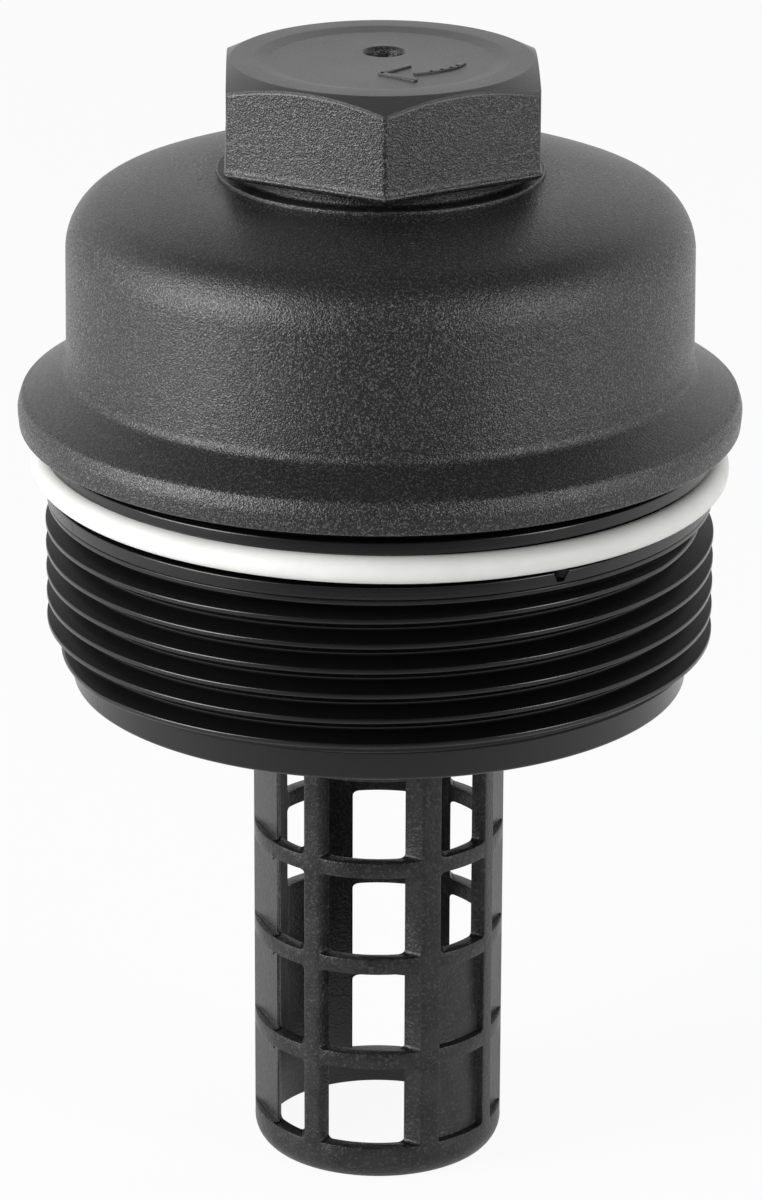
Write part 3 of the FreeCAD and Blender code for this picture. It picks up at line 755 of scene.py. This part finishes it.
def cap_plastic():
    """Charcoal nylon: spark-eroded grain above the seal, smooth tool finish below."""
    material, start, place = new_material("cap_plastic", grey(0.06))
    x = start.node("ShaderNodeSeparateXYZ", {}, {"Vector": place}, "X")
    y, z = x.other("Y"), x.other("Z")
    radius = start.sum("SQRT", x * x + y * y)
    angle = start.sum("ARCTAN2", y, x)
    grained = z.past(92.2, 92.5)
    # The hexagon's top: dish, rim and chamfer, down to 0.55 mm under its surface.
    beyond = start.sum("MAXIMUM", radius - CHAMFER_RADIUS * MM, 0.0)
    planed = (z - ((TOP - 0.55) * MM - beyond * CHAMFER_SLOPE)).past(0.0, 0.2)
    planed = planed * (1 - radius.past(21.2, 21.4))
    fine = noise(place, 5200, 1.0, 0.5)
    coarse = noise(place, 3400, 2.0, 0.6)
    broad = noise(place, 95, 3.0, 0.55)
    grain = fine * 0.5 + coarse * 0.5
    speck = grain.clear_of(0.50, 0.62)
    pit = 1 - grain.clear_of(0.38, 0.50)
    # Painted glints: the grain's sparkle is painted in as small light dots.
    painted_glint = noise(place, 1500, 1.0, 0.5).clear_of(0.74, 0.79)
    rough_share = grained * (1 - planed * 0.7)
    # The grain is deepest on the dome's wall, the hexagon and the flange.
    deep = radius.past(34.5, 36.2) * z.past(98.5, 99.5) \
        + (1 - radius.past(21.2, 22.2)) + (1 - z.past(96.2, 96.6))
    share = rough_share * (0.5 + 0.5 * start.sum("MINIMUM", deep, 1.0))

    body = grained.mix(grey(0.004), grey(0.011, 0.01))
    body = (speck * share * 0.9).mix(body, grey(0.10, 0.01))
    # The grain's pits are painted darker: painted shade in its hollows.
    body = (pit * share * 0.85).mix(body, grey(0.002))
    # The turned top is painted lighter: a painted highlight of the light it catches from above.
    body = (planed * 0.85).mix(body, grey(0.05, 0.012))
    body = (painted_glint * grained * 0.4).mix(body, grey(0.16, 0.02))
    body = (broad.clear_of(0.35, 0.7) * 0.2).mix(body, grey(0.010))
    turning = noise(place, 60, 2.0, 0.5, (0.35, 0.35, 55.0))
    rough = 0.22 + grained * 0.10 + broad * 0.06 + (pit - speck) * share * 0.10
    height = grain * share * 1.3 + grain * rough_share * 0.3 + turning * (1 - grained) * 0.18
    threaded = z.past(64.0, 64.2) * (1 - z.past(82.2, 82.6))
    across = abs(start.sum("SINE", angle + math.radians(154)) * radius)
    parting = (1 - across.past(0.08, 0.16)) * (1 - grained) * (1 - threaded)
    height = height - parting * 0.8
    body = (parting * 0.8).mix(body, grey(0.001))
    normal = bump(start, height, 0.00013, 0.8)
    shell = closure(start, body, rough, normal, {"IOR": 1.53, "Specular IOR Level": 0.6})

    # Painted shade in the deep gaps: over each turn of the thread, round the seal and under the
    # hexagon.
    turns = (z - THREAD_START * MM) / (THREAD_PITCH * MM) - (angle - math.pi) / (2 * math.pi)
    phase = start.sum("FRACT", turns)
    over_turns = phase.clear_of(0.07, 0.10) * (1 - phase.clear_of(0.49, 0.53)) * threaded
    round_seal = (1 - radius.past(38.3, 39.0)) * z.past(84.3, 84.6) * (1 - grained)
    neck = z.past(122.88, 122.98) * (1 - z.past(124.4, 124.6)) * (1 - radius.past(18.9, 19.1))
    shade = start.sum("MAXIMUM", over_turns, round_seal * (1 - threaded))
    shade = start.sum("MAXIMUM", shade, neck * 0.55)
    # A near-black closure, painted shade, is blended in over these masks.
    painted_shade_closure = closure(start, grey(0.0015), 0.45, normal, {"IOR": 1.53, "Specular IOR Level": 0.08})
    show(blend(shade * 0.95, shell, painted_shade_closure))
    return material


def seal_rubber():
    """Off-white satin elastomer."""
    material, start, place = new_material("seal_rubber", grey(0.8))
    cloud = noise(place, 130, 3.0, 0.55)
    dust = noise(place, 1500, 2.0, 0.6).clear_of(0.63, 0.72)
    body = cloud.clear_of(0.3, 0.7).mix((0.76, 0.76, 0.735, 1), (0.82, 0.82, 0.80, 1))
    body = (dust * 0.12).mix(body, (0.6, 0.6, 0.57, 1))
    height = noise(place, 2200, 2.0, 0.5) + dust * 0.5
    show(closure(start, body, 0.42 + cloud * 0.12, bump(start, height, 0.00002, 0.5),
                 {"IOR": 1.45}))
    return material


def tube_plastic():
    """Black nylon of the centre tube, satin with a slightly mottled skin."""
    material, start, place = new_material("tube_plastic", grey(0.02))
    cloud = noise(place, 320, 3.0, 0.6)
    flow = noise(place, 70, 3.0, 0.5, (1.0, 1.0, 0.35))
    fine = noise(place, 2700, 2.0, 0.6)
    body = cloud.clear_of(0.3, 0.7).mix(grey(0.005), grey(0.016))
    body = (fine.clear_of(0.52, 0.68) * 0.7).mix(body, grey(0.05))
    rough = 0.24 + cloud * 0.16 + flow * 0.08
    height = cloud * 0.8 + fine * 1.1
    show(closure(start, body, rough, bump(start, height, 0.00012, 0.7),
                 {"IOR": 1.53, "Specular IOR Level": 0.4}))
    return material


def valve_plastic():
    """Smooth black valve disc with faint turning marks."""
    material, start, place = new_material("valve_plastic", grey(0.03))
    cloud = noise(place, 240, 3.0, 0.5)
    fine = noise(place, 2100, 2.0, 0.5)
    body = cloud.clear_of(0.3, 0.7).mix(grey(0.020), grey(0.034))
    show(closure(start, body, 0.34 + cloud * 0.12, bump(start, fine, 0.00003, 0.5),
                 {"IOR": 1.5}))
    return material


def spring_steel():
    """Drawn wire, bright with fine die marks along it."""
    material, start, place = new_material("spring_steel", grey(0.55))
    cloud = noise(place, 700, 3.0, 0.6)
    marks = noise(place, 900, 2.0, 0.5, (1.0, 1.0, 6.0))
    body = cloud.clear_of(0.3, 0.7).mix(grey(0.48, -0.01), grey(0.62))
    show(closure(start, body, 0.24 + cloud * 0.14, bump(start, marks, 0.00001, 0.5),
                 {"Metallic": 1.0}))
    return material


def floor_white():
    """Pale floor that the camera sees as white, with a trace of its shadow. In
    reflections it is white behind the object and dark in front of it."""
    material, start, place = new_material("floor_white", grey(0.85))
    camera_ray = start.node("ShaderNodeLightPath", {}, {}, "Is Camera Ray")
    glossy_ray = camera_ray.other("Is Glossy Ray")
    behind = place.node("ShaderNodeSeparateXYZ", {}, {"Vector": place}, "Y").clear_of(-0.42, 0.15)
    seen = start.sum("MAXIMUM", camera_ray, glossy_ray)
    seen = start.sum("MAXIMUM", seen, camera_ray.other("Is Transmission Ray"))
    body = noise(place, 6, 2.0, 0.5).mix(grey(0.84), grey(0.86))
    shine = glossy_ray.mix(grey(1.0), behind.mix(grey(0.06), grey(0.95)))
    matt = start.node("ShaderNodeBsdfDiffuse", {}, {"Color": body}, "BSDF")
    glow = start.node("ShaderNodeEmission", {}, {"Color": shine, "Strength": 1.0}, "Emission")
    show(blend(seen * 0.93, matt, glow))
    return material


def cover(item, material):
    """Gives the whole piece one material."""
    item.data.materials.clear()
    item.data.materials.append(material)
    item.data.polygons.foreach_set("material_index", [0] * len(item.data.polygons))


def soft_light(name, place, target, size, power):
    data = bpy.data.lights.new(name, "AREA")
    data.shape = "RECTANGLE"
    data.size, data.size_y = size
    data.energy = power
    lamp = bpy.data.objects.new(name, data)
    bpy.context.scene.collection.objects.link(lamp)
    lamp.location = place
    lamp.rotation_euler = (Vector(target) - Vector(place)).to_track_quat("-Z", "Y").to_euler()


def set_studio():
    """Pale surroundings and floor, with a soft light on either side."""
    scene = bpy.context.scene
    scene.view_settings.view_transform = "Standard"
    world = bpy.data.worlds.new("studio")
    scene.world = world
    world.use_nodes = True
    for node in list(world.node_tree.nodes):
        world.node_tree.nodes.remove(node)
    start = Wire(world.node_tree)
    camera_ray = start.node("ShaderNodeLightPath", {}, {}, "Is Camera Ray")
    seen = start.sum("MAXIMUM", camera_ray, camera_ray.other("Is Transmission Ray"))
    way = start.node("ShaderNodeTexCoord", {}, {}, "Generated")
    back = start.node("ShaderNodeSeparateXYZ", {}, {"Vector": way}, "Y")
    # Bright at the horizon, further up behind the object, and dark overhead and in front.
    upward = back.other("Z") - back.clear_of(-0.25, 0.35) * 0.30
    sky = upward.clear_of(0.16, 0.62).mix(grey(0.84), grey(0.12))
    sky = back.clear_of(-0.95, -0.45).mix(grey(0.12), sky)
    plain = start.node("ShaderNodeBackground", {}, {"Color": sky, "Strength": 1.0}, "Background")
    white = start.node("ShaderNodeBackground", {}, {"Color": grey(1.0), "Strength": 1.0},
                       "Background")
    show(blend(seen, plain, white), "ShaderNodeOutputWorld")

    clear_selection()
    bpy.ops.mesh.primitive_plane_add(size=6.0, location=(0, 0, 0))
    floor = named("floor")
    floor.data.materials.append(floor_white())

    middle = (0, 0, 0.09)
    soft_light("key_left", (-0.62, -0.30, 0.30), middle, (0.42, 0.55), 5.8)
    soft_light("strip_right", (0.56, -0.37, 0.28), middle, (0.2, 0.5), 1.9)


def set_camera():
    """A long lens in front of the object, looking down at it by 19.91 degrees."""
    data = bpy.data.cameras.new("camera")
    camera = bpy.data.objects.new("camera", data)
    bpy.context.scene.collection.objects.link(camera)
    data.sensor_width = 36.0
    data.lens = 167.41
    data.shift_x = 0.00134
    data.shift_y = -0.00821
    data.clip_start = 0.01
    data.clip_end = 20
    camera.location = (0, -0.62722, 0.29786)
    lean = Matrix.Rotation(math.radians(90 - 19.91), 3, "X") \
        @ Matrix.Rotation(math.radians(0.2), 3, "Z")
    camera.rotation_euler = lean.to_euler()
    bpy.context.scene.camera = camera


def main():
    set_camera()
    set_studio()

    cap = make_cap()
    cover(cap, cap_plastic())
    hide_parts("housing_cap")
    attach(cap, "cap")

    seal = make_seal()
    cover(seal, seal_rubber())
    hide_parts("seal_ring")
    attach(seal, "cap")

    spring = make_spring()
    cover(spring, spring_steel())
    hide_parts("valve_spring")
    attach(spring, "cap")
    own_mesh(spring)

    tube_finish = tube_plastic()
    tube = make_tube()
    cover(tube, tube_finish)
    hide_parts("support_cage")
    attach(tube, "cap")
    cover(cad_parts["spring_retainer"], tube_finish)
    cover(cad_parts["valve_disc"], valve_plastic())


main()
